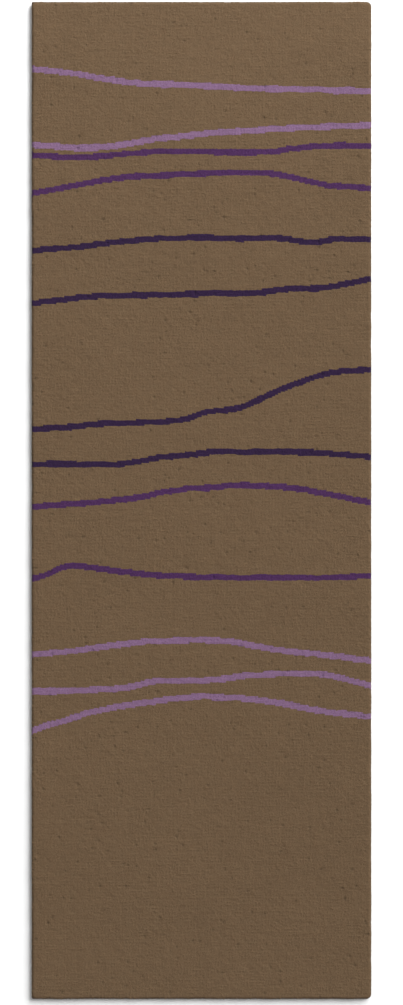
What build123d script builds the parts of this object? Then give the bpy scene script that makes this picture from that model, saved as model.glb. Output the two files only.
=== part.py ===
"""Runner rug: hand-tufted cut pile with thirteen wavy stripes, on a glued and bound backing.

Millimetres.  +X is the rug's width, +Y its length, +Z up.  The origin is on the floor under
the middle of the rug, so the binding tape's underside is at z = 0 and the pile's tips are at
the total thickness.

The pile is punched through the tufting cloth on a square grid.  Each colour is a patch of
whole tufts, so the border between two colours climbs in steps of one tuft.  A patch is made
from the lowest and the highest row that it fills in each column, and neighbouring patches use
the same rows, so they meet face to face.
"""

from build123d import *
from math import hypot
import os

os.makedirs("parts", exist_ok=True)

# ---- driving dimensions -----------------------------------------------------------------

RUG_WIDTH = 812.8  # 32 in
RUG_LENGTH = 2387.6  # 94 in
TUFT_PITCH = 25.4 / 7.5  # seven and a half tufts to the inch, both ways
STRIPE_WIDTH = 14.4  # measured square to the stripe, a little over four tufts

CORNER_RADIUS_LEFT = 4.0  # the two corners on the -X side are almost square
CORNER_RADIUS_RIGHT = 11.0

# Thickness of each layer, from the floor up.
TAPE_THICKNESS = 0.8
CLOTH_THICKNESS = 0.8  # tufting cloth, its hem and the backing cloth are alike
ADHESIVE_THICKNESS = 0.6
SCRIM_THICKNESS = 0.4
PRECOAT_THICKNESS = 0.6
PILE_HEIGHT = 12.0

PILE_OVERHANG = 1.5  # the outermost tufts stand this far out over the folded cloth
FOLD_RADIUS = 0.7  # outside of the tufting cloth's fold, top and bottom
HEM_WIDTH = 45.0  # from the rug's edge to the raw edge of the hem
MITRE_GAP = 0.4  # slit between two hems where they meet at a corner

TAPE_INSET = 3.0  # from the rug's edge to the tape's outer edge
TAPE_WIDTH = 50.0
SEAM_MARGIN = 4.0  # from an edge of the tape to the seam beside it
THREAD_WIDTH = 0.8
THREAD_DEPTH = 0.4  # a seam is drawn this deep into what it holds

LABEL_WIDTH = 40.0
LABEL_LENGTH = 62.0
LABEL_THICKNESS = 0.4
LABEL_GAP = 18.0  # from the inner edges of the tapes to the label
LABEL_SEAM_MARGIN = 2.4
LABEL_THREAD_DEPTH = 0.2

# ---- derived dimensions -----------------------------------------------------------------

COLUMNS = round(RUG_WIDTH / TUFT_PITCH)
ROWS = round(RUG_LENGTH / TUFT_PITCH)

HEM_BOTTOM = TAPE_THICKNESS
HEM_TOP = HEM_BOTTOM + CLOTH_THICKNESS
SCRIM_BOTTOM = HEM_TOP + ADHESIVE_THICKNESS
PRECOAT_BOTTOM = SCRIM_BOTTOM + SCRIM_THICKNESS
CLOTH_BOTTOM = PRECOAT_BOTTOM + PRECOAT_THICKNESS
PILE_BOTTOM = CLOTH_BOTTOM + CLOTH_THICKNESS
RUG_THICKNESS = PILE_BOTTOM + PILE_HEIGHT

LAYER_INSET = PILE_OVERHANG + CLOTH_THICKNESS  # what lies inside the folded cloth

# ---- the stripes ------------------------------------------------------------------------

# One entry per stripe, from the +Y end down: its colour, and the points that its middle line
# passes through, from the -X edge to the +X edge.
LEFT = -RUG_WIDTH / 2
RIGHT = RUG_WIDTH / 2

STRIPES = [
    ("lilac", [(LEFT, 1033), (-320, 1024), (-240, 1010), (-150, 999), (0, 993),
               (150, 986), (RIGHT, 981)]),
    ("lilac", [(LEFT, 851), (-350, 847), (-285, 843), (-235, 845), (-150, 859),
               (-30, 873), (90, 884), (220, 891), (RIGHT, 898)]),
    ("purple", [(LEFT, 826), (-300, 821), (-240, 824), (-170, 831), (-110, 834),
                (160, 834), (215, 841), (290, 849), (RIGHT, 849)]),
    ("purple", [(LEFT, 735), (-340, 747), (-250, 764), (-160, 775), (-30, 781),
                (90, 785), (170, 782), (230, 770), (300, 755), (RIGHT, 747)]),
    ("dark", [(LEFT, 597), (-300, 608), (-200, 619), (-100, 627), (10, 630),
              (80, 627), (180, 627), (262, 618), (320, 624), (RIGHT, 625)]),
    ("dark", [(LEFT, 472), (-340, 479), (-270, 487), (-110, 492), (0, 495),
              (140, 497), (215, 506), (290, 509), (340, 517), (RIGHT, 531)]),
    ("dark", [(LEFT, 171), (-330, 175), (-240, 183), (-130, 187), (-40, 194), (10, 210),
              (95, 223), (150, 247), (210, 273), (290, 301), (330, 308), (RIGHT, 313)]),
    ("dark", [(LEFT, 85), (-360, 88), (-190, 88), (-110, 101), (-30, 109),
              (30, 116), (260, 115), (330, 110), (RIGHT, 104)]),
    ("purple", [(LEFT, -16), (-330, -10), (-240, -3), (-150, 8), (-80, 23),
                (20, 31), (100, 37), (180, 32), (260, 23), (RIGHT, -6)]),
    ("purple", [(LEFT, -187), (-370, -178), (-335, -162), (-305, -157), (-200, -169),
                (-110, -179), (20, -184), (300, -185), (RIGHT, -181)]),
    ("lilac", [(LEFT, -369), (-330, -363), (-210, -347), (-130, -338), (50, -336),
               (130, -350), (230, -363), (RIGHT, -384)]),
    ("lilac", [(LEFT, -457), (-310, -456), (-180, -448), (-110, -433), (-20, -432),
               (60, -426), (120, -418), (300, -417), (350, -430), (RIGHT, -444)]),
    ("lilac", [(LEFT, -552), (-340, -530), (-230, -499), (-120, -482), (-20, -471),
               (70, -472), (150, -480), (250, -497), (340, -511), (RIGHT, -517)]),
]


def curve_height(points, x):
    """Height and slope, at x, of the smooth curve through the points (a cubic per span)."""

    def slope_at(index):
        before = points[max(index - 1, 0)]
        after = points[min(index + 1, len(points) - 1)]
        return (after[1] - before[1]) / (after[0] - before[0])

    span = 0
    while span < len(points) - 2 and points[span + 1][0] < x:
        span += 1
    (x0, y0), (x1, y1) = points[span], points[span + 1]
    run = x1 - x0
    t = (x - x0) / run
    rise0 = slope_at(span) * run
    rise1 = slope_at(span + 1) * run
    height = (
        y0 * (2 * t**3 - 3 * t**2 + 1) + rise0 * (t**3 - 2 * t**2 + t)
        + y1 * (3 * t**2 - 2 * t**3) + rise1 * (t**3 - t**2)
    )
    slope = (
        (y1 - y0) * (6 * t - 6 * t**2) + rise0 * (3 * t**2 - 4 * t + 1)
        + rise1 * (3 * t**2 - 2 * t)
    ) / run
    return height, slope


def stripe_rows(points):
    """First tuft row of a stripe, and first row above it, for every column."""
    low, high = [], []
    for column in range(COLUMNS):
        middle_x = LEFT + (column + 0.5) * TUFT_PITCH
        height, slope = curve_height(points, middle_x)
        half = STRIPE_WIDTH / 2 * hypot(1, slope)
        low.append(round((height - half + RUG_LENGTH / 2) / TUFT_PITCH))
        high.append(round((height + half + RUG_LENGTH / 2) / TUFT_PITCH))
    return low, high


def stepped_edge(rows):
    """Corner points, from -X to +X, of the border that runs below the given row numbers."""
    heights = [row * TUFT_PITCH - RUG_LENGTH / 2 for row in rows]
    points = [(LEFT, heights[0])]
    for column in range(1, COLUMNS):
        if heights[column] != heights[column - 1]:
            x = LEFT + column * TUFT_PITCH
            points += [(x, heights[column - 1]), (x, heights[column])]
    points.append((RIGHT, heights[-1]))
    return points


# ---- pile -------------------------------------------------------------------------------


def pile_patch(low, high):
    """Solid of the tufts that fill rows low to high of every column."""
    with BuildPart() as patch:
        with BuildSketch(Plane.XY.offset(PILE_BOTTOM)):
            with BuildLine():
                Polyline(*stepped_edge(low), *reversed(stepped_edge(high)), close=True)
            make_face()
        extrude(amount=PILE_HEIGHT)
        if low[0] == 0:
            round_corners(patch, first=0)
        if high[0] == ROWS:
            round_corners(patch, first=-1)
    return patch.part


def round_corners(patch, first):
    """Round the two upright edges at one end of a patch (first is 0 for -Y, -1 for +Y)."""
    radii = (CORNER_RADIUS_LEFT, CORNER_RADIUS_RIGHT)
    for which, radius in zip((0, -1), radii):
        ends = patch.edges().filter_by(Axis.Z).group_by(Axis.Y)[first]
        fillet(ends.sort_by(Axis.X)[which], radius)


stripes = [(colour, *stripe_rows(points)) for colour, points in STRIPES]

# Ground patches fill what the stripes leave, numbered from the +Y end like the stripes.
ceiling = [ROWS] * COLUMNS
for number, (colour, low, high) in enumerate(stripes, start=1):
    assert all(top > bottom for top, bottom in zip(ceiling, high)), "stripes cross"

    ground = pile_patch(high, ceiling)
    ground.label = f"pile_ground_{number:02d}"
    export_step(ground, f"parts/{ground.label}.step")

    stripe = pile_patch(low, high)
    stripe.label = f"pile_stripe_{number:02d}_{colour}"
    export_step(stripe, f"parts/{stripe.label}.step")

    ceiling = low

last_ground = pile_patch([0] * COLUMNS, ceiling)
last_ground.label = f"pile_ground_{len(stripes) + 1:02d}"
export_step(last_ground, f"parts/{last_ground.label}.step")

# ---- outlines that several layers share -------------------------------------------------


def draw_rug_outline(sketch, inset):
    """Draw the rug's outline, moved in by the inset, in a sketch that is open."""
    Rectangle(RUG_WIDTH - 2 * inset, RUG_LENGTH - 2 * inset)
    fillet(sketch.vertices().group_by(Axis.X)[0], CORNER_RADIUS_LEFT - inset)
    fillet(sketch.vertices().group_by(Axis.X)[-1], CORNER_RADIUS_RIGHT - inset)


def rectangle_corners(inset):
    """Corners of the rug's rectangle moved in by the inset, anticlockwise from -X -Y."""
    x = RUG_WIDTH / 2 - inset
    y = RUG_LENGTH / 2 - inset
    return [(-x, -y), (x, -y), (x, y), (-x, y)]


def draw_border_strip(side, inset, width):
    """Draw a strip along one side of the rug, mitred at both ends, in an open sketch."""
    outer = rectangle_corners(inset)
    inner = rectangle_corners(inset + width)
    after = (side + 1) % len(outer)
    Polygon(outer[side], outer[after], inner[after], inner[side], align=None)


# ---- tufting cloth: carries the tufts, folded under all round and hemmed -----------------

with BuildPart() as tufting_cloth:
    with BuildSketch(Plane.XY.offset(HEM_BOTTOM)) as outside:
        draw_rug_outline(outside, PILE_OVERHANG)
    extrude(amount=PILE_BOTTOM - HEM_BOTTOM)
    folds = tufting_cloth.faces().filter_by(Axis.Z).edges()
    fillet(folds, FOLD_RADIUS)

    with BuildSketch(Plane.XY.offset(HEM_TOP)) as inside:
        draw_rug_outline(inside, LAYER_INSET)
    extrude(amount=CLOTH_BOTTOM - HEM_TOP, mode=Mode.SUBTRACT)

    with BuildSketch(Plane.XY.offset(HEM_BOTTOM)):
        Rectangle(RUG_WIDTH - 2 * HEM_WIDTH, RUG_LENGTH - 2 * HEM_WIDTH)
    extrude(amount=CLOTH_THICKNESS, mode=Mode.SUBTRACT)

    # A slit along each corner's diagonal, from inside the fold to just past the hem's edge.
    slit_start = CORNER_RADIUS_RIGHT
    slit_end = HEM_WIDTH + MITRE_GAP
    for index, (x, y) in enumerate(rectangle_corners((slit_start + slit_end) / 2)):
        angle = 45 if index % 2 == 0 else -45
        with BuildSketch(Plane.XY.offset(HEM_BOTTOM)):
            with Locations(Location((x, y), angle)):
                Rectangle(2**0.5 * (slit_end - slit_start), MITRE_GAP)
        extrude(amount=CLOTH_THICKNESS, mode=Mode.SUBTRACT)

tufting_cloth.part.label = "tufting_cloth"
export_step(tufting_cloth.part, "parts/tufting_cloth.step")

# ---- glued layers inside the folded cloth ------------------------------------------------

# Latex that locks the backs of the tufts, from the underside of the tufting cloth down.
with BuildPart() as latex_precoat:
    with BuildSketch(Plane.XY.offset(PRECOAT_BOTTOM)) as outline:
        draw_rug_outline(outline, LAYER_INSET)
    extrude(amount=PRECOAT_THICKNESS)

latex_precoat.part.label = "latex_precoat"
export_step(latex_precoat.part, "parts/latex_precoat.step")

# Open gauze pressed into the latex, which keeps the rug from stretching.
with BuildPart() as scrim:
    with BuildSketch(Plane.XY.offset(SCRIM_BOTTOM)) as outline:
        draw_rug_outline(outline, LAYER_INSET)
    extrude(amount=SCRIM_THICKNESS)

scrim.part.label = "scrim"
export_step(scrim.part, "parts/scrim.step")

# Second coat, which the hem and the backing cloth are stuck to.
with BuildPart() as latex_adhesive:
    with BuildSketch(Plane.XY.offset(HEM_TOP)) as outline:
        draw_rug_outline(outline, LAYER_INSET)
    extrude(amount=ADHESIVE_THICKNESS)

latex_adhesive.part.label = "latex_adhesive"
export_step(latex_adhesive.part, "parts/latex_adhesive.step")

# ---- backing cloth: covers the adhesive and butts against the hem ------------------------

with BuildPart() as backing_cloth:
    with BuildSketch(Plane.XY.offset(HEM_BOTTOM)):
        Rectangle(RUG_WIDTH - 2 * HEM_WIDTH, RUG_LENGTH - 2 * HEM_WIDTH)
    extrude(amount=CLOTH_THICKNESS)

backing_cloth.part.label = "backing_cloth"
export_step(backing_cloth.part, "parts/backing_cloth.step")

# ---- binding tapes: over the joint of hem and backing, each with two seams ---------------

SIDES = ["bottom_end", "right", "top_end", "left"]  # as rectangle_corners goes round
OUTER_SEAM = TAPE_INSET + SEAM_MARGIN
INNER_SEAM = TAPE_INSET + TAPE_WIDTH - SEAM_MARGIN - THREAD_WIDTH

for side, side_name in enumerate(SIDES):
    with BuildPart() as tape:
        with BuildSketch():
            draw_border_strip(side, TAPE_INSET, TAPE_WIDTH)
        extrude(amount=TAPE_THICKNESS)

        # Mitred ends, turned in round the rug's corners so that no point shows past the fold.
        with BuildSketch() as outline:
            draw_rug_outline(outline, TAPE_INSET)
        extrude(amount=TAPE_THICKNESS, mode=Mode.INTERSECT)

        with BuildSketch():
            draw_border_strip(side, OUTER_SEAM, THREAD_WIDTH)
            draw_border_strip(side, INNER_SEAM, THREAD_WIDTH)
        extrude(amount=THREAD_DEPTH, mode=Mode.SUBTRACT)

    tape.part.label = f"binding_tape_{side_name}"
    export_step(tape.part, f"parts/{tape.part.label}.step")

    with BuildPart() as seam:
        with BuildSketch():
            draw_border_strip(side, OUTER_SEAM, THREAD_WIDTH)
            draw_border_strip(side, INNER_SEAM, THREAD_WIDTH)
        extrude(amount=THREAD_DEPTH)

    seam.part.label = f"tape_seam_{side_name}"
    export_step(seam.part, f"parts/{seam.part.label}.step")

# ---- care label: plain woven tag sewn to the backing near the -Y, -X corner --------------

LABEL_BOTTOM = HEM_BOTTOM - LABEL_THICKNESS
LABEL_X = LEFT + TAPE_INSET + TAPE_WIDTH + LABEL_GAP + LABEL_WIDTH / 2
LABEL_Y = -RUG_LENGTH / 2 + TAPE_INSET + TAPE_WIDTH + LABEL_GAP + LABEL_LENGTH / 2
LABEL_PLANE = Plane((LABEL_X, LABEL_Y, LABEL_BOTTOM))


def draw_label_seam():
    """Draw the seam that runs round the label, in an open sketch."""
    width = LABEL_WIDTH - 2 * LABEL_SEAM_MARGIN
    length = LABEL_LENGTH - 2 * LABEL_SEAM_MARGIN
    Rectangle(width, length)
    Rectangle(width - 2 * THREAD_WIDTH, length - 2 * THREAD_WIDTH, mode=Mode.SUBTRACT)


with BuildPart() as care_label:
    with BuildSketch(LABEL_PLANE):
        Rectangle(LABEL_WIDTH, LABEL_LENGTH)
    extrude(amount=LABEL_THICKNESS)
    with BuildSketch(LABEL_PLANE):
        draw_label_seam()
    extrude(amount=LABEL_THREAD_DEPTH, mode=Mode.SUBTRACT)

care_label.part.label = "care_label"
export_step(care_label.part, "parts/care_label.step")

with BuildPart() as label_seam:
    with BuildSketch(LABEL_PLANE):
        draw_label_seam()
    extrude(amount=LABEL_THREAD_DEPTH)

label_seam.part.label = "label_seam"
export_step(label_seam.part, "parts/label_seam.step")

print(f"{COLUMNS} x {ROWS} tufts, {RUG_WIDTH} x {RUG_LENGTH} x {RUG_THICKNESS:.1f} mm")
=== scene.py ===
"""Looks of the runner rug: tufted pile, folded and hemmed cloth, canvas back, tapes and seams.

Metres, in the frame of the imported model.  +X is the rug's width, +Y its length, +Z up.  The
pile is one surface of small domes, one for each tuft of yarn, cut into a closed piece for each
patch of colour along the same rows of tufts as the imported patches.  Everything random is
seeded, so each run gives the same rug.
"""

import math

import bpy
import numpy as np
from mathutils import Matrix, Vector


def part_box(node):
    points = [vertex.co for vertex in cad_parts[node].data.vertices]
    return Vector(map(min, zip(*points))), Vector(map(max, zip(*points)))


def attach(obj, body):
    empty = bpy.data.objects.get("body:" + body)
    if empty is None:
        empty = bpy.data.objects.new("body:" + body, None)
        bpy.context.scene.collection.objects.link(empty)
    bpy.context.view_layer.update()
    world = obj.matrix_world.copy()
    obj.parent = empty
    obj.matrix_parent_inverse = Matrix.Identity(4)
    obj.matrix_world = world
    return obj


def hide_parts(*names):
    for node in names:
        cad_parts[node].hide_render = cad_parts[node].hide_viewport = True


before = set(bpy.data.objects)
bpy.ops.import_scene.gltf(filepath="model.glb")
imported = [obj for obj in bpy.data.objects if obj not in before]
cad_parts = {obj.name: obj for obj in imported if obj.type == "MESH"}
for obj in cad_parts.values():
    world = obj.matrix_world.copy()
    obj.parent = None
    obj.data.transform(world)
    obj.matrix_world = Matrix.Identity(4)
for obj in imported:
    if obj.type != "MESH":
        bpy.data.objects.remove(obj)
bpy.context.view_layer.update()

MM = 0.001
SEED = 20

# ---- sizes read from the frame ----

PILE_NODES = sorted(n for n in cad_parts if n.startswith("pile_"))
PILE_LOW = Vector(map(min, *(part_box(n)[0] for n in PILE_NODES)))
PILE_HIGH = Vector(map(max, *(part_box(n)[1] for n in PILE_NODES)))
RUG_WIDTH = PILE_HIGH.x - PILE_LOW.x
RUG_LENGTH = PILE_HIGH.y - PILE_LOW.y
PILE_BASE = PILE_LOW.z
PILE_TIP = PILE_HIGH.z

# ---- pile: sizes ----

COLUMNS = 240  # tufts across the rug
ROWS = round(RUG_LENGTH * COLUMNS / RUG_WIDTH)
TUFTS = (ROWS, COLUMNS)
PITCH = RUG_WIDTH / COLUMNS
CELL_EDGES = (0, 0.25, 0.75)  # mesh lines across a tuft, close beside its two borders
CELLS = len(CELL_EDGES)
MAX_TUFTS = 10500  # in one piece, which keeps its mesh under 200,000 triangles

CORNER_RADIUS = {-1: 4 * MM, 1: 11 * MM}  # at the -X and the +X side
GROOVE = 0.70 * MM  # how far the surface dips between two tufts
GROOVE_CROSSING = 1.12 * MM  # and where four tufts meet
GROOVE_SPREAD = 0.2  # of a dip from vertex to vertex, as a share of it
GROOVE_WAVE = (0.18, 8 * MM)  # the same over stretches: share and wavelength
COLOUR_GROOVE = 0.12 * MM  # further dip between two colours

TUFT_LEAN = 0.24 * MM  # spread of how far the tips lean
LINE_SHIFT = (0.45 * MM, 5 * PITCH)  # how far stretches of a row or column slid, their length
LEAN_LIMIT = 0.65 * MM  # no tip is further out than this, so that none folds over the next
WARPS = ((34 * MM, 0.80 * MM), (14 * MM, 0.50 * MM))  # how rows wander: wavelength, distance
JITTER = 0.10 * MM  # of each vertex

# Spread from tuft to tuft, then waves: size, wavelength across and wavelength along the rug.
TUFT_RISE = 0.12 * MM
RISE_WAVES = (
    (0.06 * MM, 14 * PITCH, PITCH),  # stretches of a row
    (0.15 * MM, 90 * MM, 90 * MM),  # broad brushed areas
    (0.15 * MM, 2.2 * PITCH, 2.2 * PITCH),  # clumps of a few tufts
)
TUFT_SHADE = 0.016
SHADE_WAVES = (
    (0.018, 2.2 * PITCH, 2.2 * PITCH),
    (0.010, 5 * PITCH, 4 * PITCH),
    (0.010, 60 * PITCH, 30 * PITCH),
)

FLECKS = 1 / 420  # share of tufts that are thin and sunk, with painted shade on them as a dark spot
FLECK_DEPTH = 0.95 * MM
FLECK_PAINTED_SHADE = 0.19  # painted shade: how much darker a thin tuft's colour is made
FLECK_SPILL = 0.4  # share of both that the tufts beside it get

TIP_MARGIN = 0.25 * MM  # middle of the tips' heights, under the top of the CAD's pile
EDGE_ROLL = 6.5 * MM  # the pile rounds off over this distance from the rug's edge
EDGE_DROP = 3.4 * MM
EDGE_RAGGED = 0.3  # spread of the drop from tuft to tuft, as a share of it
EDGE_CALM = 0.8  # share of the wandering that is gone at the edge
EDGE_CORNER = 10 * MM  # the rounding goes round the rug's corners at this radius
WALL_LEVELS = (0.14, 0.32, 0.55, 0.80)  # heights down the pile's side, as shares of it
WALL_BULGE = (0.35 * MM, 0.45 * MM, 0.2 * MM, -0.45 * MM)  # outward at each level
WALL_FOOT = -1.1 * MM  # outward at the cloth
WALL_GROOVE = 0.75 * MM  # between two tufts of the side
WALL_SCATTER = (0.16 * MM, 0.13 * MM)  # of each vertex, outward and along the side


# ---- helpers: noise ----


def smooth_noise(rng, shape, spacing_x, spacing_y, wavelength_x, wavelength_y):
    """Smooth random field of that shape, by cubic steps between knots of unit spread."""
    rows, columns = shape
    y = np.arange(rows) * spacing_y / wavelength_y
    x = np.arange(columns) * spacing_x / wavelength_x
    knots = rng.normal(size=(int(y[-1]) + 3, int(x[-1]) + 3))
    j, i = y.astype(int), x.astype(int)
    v, u = y - j, x - i
    v = (v * v * (3 - 2 * v))[:, None]
    u = (u * u * (3 - 2 * u))[None, :]
    k00, k01 = knots[np.ix_(j, i)], knots[np.ix_(j, i + 1)]
    k10, k11 = knots[np.ix_(j + 1, i)], knots[np.ix_(j + 1, i + 1)]
    return (k00 * (1 - u) + k01 * u) * (1 - v) + (k10 * (1 - u) + k11 * u) * v


def tuft_noise(rng, wavelength_x, wavelength_y):
    """Smooth random value per tuft."""
    return smooth_noise(rng, TUFTS, PITCH, PITCH, wavelength_x, wavelength_y)


def tuft_field(rng, own_spread, waves):
    """A value per tuft: its own part, and waves over many tufts."""
    field = rng.normal(scale=own_spread, size=TUFTS)
    for size, wavelength_x, wavelength_y in waves:
        field += tuft_noise(rng, wavelength_x, wavelength_y) * size
    return field


def tufts_at_vertices(per_tuft):
    """For each mesh vertex, the values of the four tufts round it.  Inside one, all are its own."""
    padded = np.pad(per_tuft, 1, mode="edge")
    lines = [np.arange(count * CELLS + 1) for count in TUFTS]
    rows, columns = [((line - 1) // CELLS + 1, line // CELLS + 1) for line in lines]
    return [padded[np.ix_(row, column)] for row in rows for column in columns]


def to_vertices(per_tuft):
    """A value per tuft, as a value per mesh vertex: its own inside, an average on borders."""
    return sum(tufts_at_vertices(per_tuft)) / 4


# ---- helpers: meshes ----


def mesh_object(name, points, faces, smooth, uvs):
    """Makes an object.  faces is a list of index arrays, one array per number of corners."""
    corners = np.concatenate([f.ravel() for f in faces]).astype(np.int32)
    sizes = np.concatenate([np.full(len(f), f.shape[1]) for f in faces])
    starts = np.concatenate([[0], np.cumsum(sizes)[:-1]]).astype(np.int32)
    mesh = bpy.data.meshes.new(name)
    mesh.vertices.add(len(points))
    mesh.vertices.foreach_set("co", np.asarray(points, np.float32).ravel())
    mesh.loops.add(len(corners))
    mesh.loops.foreach_set("vertex_index", corners)
    mesh.polygons.add(len(sizes))
    mesh.polygons.foreach_set("loop_start", starts)
    mesh.polygons.foreach_set("use_smooth", np.ones(len(sizes), bool) & smooth)
    mesh.update(calc_edges=True)
    layer = mesh.uv_layers.new(name="OFBake")
    layer.data.foreach_set("uv", np.asarray(uvs, np.float32).ravel())
    obj = bpy.data.objects.new(name, mesh)
    bpy.context.scene.collection.objects.link(obj)
    return obj


def boundary(grid):
    """The values round a grid's border, anticlockwise from its first corner."""
    return np.concatenate([grid[0, :-1], grid[:-1, -1], grid[-1, :0:-1], grid[:0:-1, 0]])


def grid_faces(index, facing_up=True):
    """Quads of a grid of vertex numbers."""
    quads = [index[:-1, :-1], index[:-1, 1:], index[1:, 1:], index[1:, :-1]]
    return np.stack(quads if facing_up else quads[::-1], axis=-1).reshape(-1, 4)


def grid_uvs(rows, columns, folds=1):
    """Flat map for faces that face down.  A long grid is folded into strips, side by side."""
    j, i = np.indices((rows - 1, columns - 1)).reshape(2, -1, 1)
    strip = j * folds // (rows - 1)
    along = (j + [[1, 1, 0, 0]]) * folds / (rows - 1) - strip
    across = (i + [[0, 1, 1, 0]]) / (columns - 1)
    return np.stack([(strip + 0.99 * across) / folds, along], axis=-1).reshape(-1, 2)


def ring_faces(rings):
    """Quads between closed loops of vertex numbers, each outside or below the one before."""
    quads = []
    for a, b in zip(rings, rings[1:]):
        quads.append(np.stack([a, b, np.roll(b, -1), np.roll(a, -1)], axis=-1))
    return np.concatenate(quads)


MAP_SHOWN = 0.98  # side of the square of a flat map that takes what shows


def tucked(uvs):
    """Flat places drawn small in the map's far corner, for what is hidden."""
    return 0.985 + 0.012 * uvs


def slab(name, x, y, low, high, folds=1):
    """Closed mesh between two heights over a grid of places, mapped for its lower side."""
    count = x.size
    lower = np.arange(count).reshape(x.shape)
    points = np.concatenate([np.stack([x, y, z], -1).reshape(-1, 3) for z in (low, high)])
    under = grid_faces(lower, facing_up=False)
    hidden = np.concatenate(
        [grid_faces(lower + count), ring_faces([boundary(lower + count), boundary(lower)])]
    )
    smooth = np.arange(len(under) + len(hidden)) < 2 * len(under)  # not round its rim
    centre = points[:, :2].mean(0)
    small = (points[hidden.ravel(), :2] - centre) / np.ptp(points[:, :2], axis=0) + 0.5
    uvs = np.concatenate([MAP_SHOWN * grid_uvs(*x.shape, folds), tucked(small)])
    return mesh_object(name, points, [np.concatenate([under, hidden])], smooth, uvs)


def finish_piece(obj, material, node_name):
    """Gives a piece its material, hangs it under the root body, and hides the CAD part it stands
    for.
    """
    obj.data.materials.append(material)
    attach(obj, "root")
    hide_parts(node_name)


def add_attribute(obj, name, values, domain="POINT"):
    """A number for each vertex or face, which materials read."""
    attribute = obj.data.attributes.new(name, "FLOAT", domain)
    attribute.data.foreach_set("value", np.asarray(values, np.float32).ravel())


def box_grid(low_corner, high_corner, columns, rows):
    """Grid of places over a box seen from above, with that many cells."""
    return np.meshgrid(
        np.linspace(low_corner.x, high_corner.x, columns + 1),
        np.linspace(low_corner.y, high_corner.y, rows + 1),
    )


def to_box_edge(x, y, low_corner, high_corner):
    """How far places are inside a box seen from above, and below 0 outside it."""
    return np.minimum.reduce(
        [x - low_corner.x, high_corner.x - x, y - low_corner.y, high_corner.y - y]
    )


# ---- helpers: the rug's outline ----


def round_corners(x, y, inset=0.0):
    """Points of the rug's rectangle, with its corner squares pressed into quarter rounds."""
    x, y = np.array(x, float), np.array(y, float)
    half_x, half_y = RUG_WIDTH / 2 - inset, RUG_LENGTH / 2 - inset
    for side, full_radius in CORNER_RADIUS.items():
        radius = full_radius - inset
        if radius <= 0:
            continue
        for end in (-1, 1):
            centre_x, centre_y = side * (half_x - radius), end * (half_y - radius)
            dx, dy = (x - centre_x) * side, (y - centre_y) * end
            inside = (dx > 0) & (dy > 0)
            squeeze = np.maximum(dx, dy) / np.maximum(np.hypot(dx, dy), 1e-9)
            x = np.where(inside, centre_x + (x - centre_x) * squeeze, x)
            y = np.where(inside, centre_y + (y - centre_y) * squeeze, y)
    return x, y


def outward(x, y):
    """Unit direction out of the rug at points near its edge."""
    radius = np.where(x < 0, CORNER_RADIUS[-1], CORNER_RADIUS[1])
    core_x = np.clip(x, -RUG_WIDTH / 2 + radius, RUG_WIDTH / 2 - radius)
    core_y = np.clip(y, -RUG_LENGTH / 2 + radius, RUG_LENGTH / 2 - radius)
    dx, dy = x - core_x, y - core_y
    length = np.maximum(np.hypot(dx, dy), 1e-9)
    return dx / length, dy / length


def to_rounded_edge(x, y, radius):
    """How far points are inside the rug's rectangle with its corners rounded."""
    past_x = abs(x) - (RUG_WIDTH / 2 - radius)
    past_y = abs(y) - (RUG_LENGTH / 2 - radius)
    outside = np.hypot(np.maximum(past_x, 0), np.maximum(past_y, 0))
    return radius - outside - np.minimum(np.maximum(past_x, past_y), 0)


# ---- pile: which tufts belong to which patch ----


def patch_rows(node_name):
    """First tuft row and first row past the patch, for each column, from its CAD walls."""
    low_corner, high_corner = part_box(node_name)
    low = np.full(COLUMNS, round((low_corner.y - PILE_LOW.y) / PITCH))
    high = np.full(COLUMNS, round((high_corner.y - PILE_LOW.y) / PITCH))
    middles = PILE_LOW.x + (np.arange(COLUMNS) + 0.5) * PITCH
    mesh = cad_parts[node_name].data
    for face in mesh.polygons:
        if abs(face.normal.y) < 0.999:
            continue
        corners = [mesh.vertices[v].co for v in face.vertices]
        left, right = min(c.x for c in corners), max(c.x for c in corners)
        over = (middles > left) & (middles < right)
        row = round((corners[0].y - PILE_LOW.y) / PITCH)
        (low if face.normal.y < 0 else high)[over] = row
    return low, high


def cut_in_bands(low, high):
    """Splits a large patch along whole rows, into bands of about the same number of tufts."""
    count = math.ceil((high - low).sum() / MAX_TUFTS)
    cuts = []
    for k in range(1, count):
        wanted = (high - low).sum() * k / count
        row = next(r for r in range(ROWS) if np.clip(r - low, 0, high - low).sum() >= wanted)
        cuts.append(min(max(row, low.max() + 2), high.min() - 2))
    edges = [0, *cuts, ROWS]
    return [(np.clip(low, a, b), np.clip(high, a, b)) for a, b in zip(edges, edges[1:])]


# ---- pile: the surface of domes ----


def mesh_lines(count):
    """Places of the mesh lines over a number of tufts, in tufts."""
    return np.append((np.arange(count)[:, None] + CELL_EDGES).ravel(), count)


def to_corners(cells):
    """Adds up at each corner of a grid what the cells round it hold.  Of yes and no, any yes."""
    rows, columns, *rest = cells.shape
    sums = np.zeros((rows + 1, columns + 1, *rest), cells.dtype)
    sides = (slice(None, -1), slice(1, None))
    for i in sides:
        for j in sides:
            sums[j, i] += cells
    return sums


def surface_normals(x, y, z):
    """Upward unit normals of the whole surface, so that pieces of it join without a seam."""
    points = np.stack([x, y, z], axis=-1)
    across = points[1:, 1:] - points[:-1, :-1]
    back = points[1:, :-1] - points[:-1, 1:]
    normals = to_corners(np.cross(across, back))
    return normals / np.linalg.norm(normals, axis=-1, keepdims=True)


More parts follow.
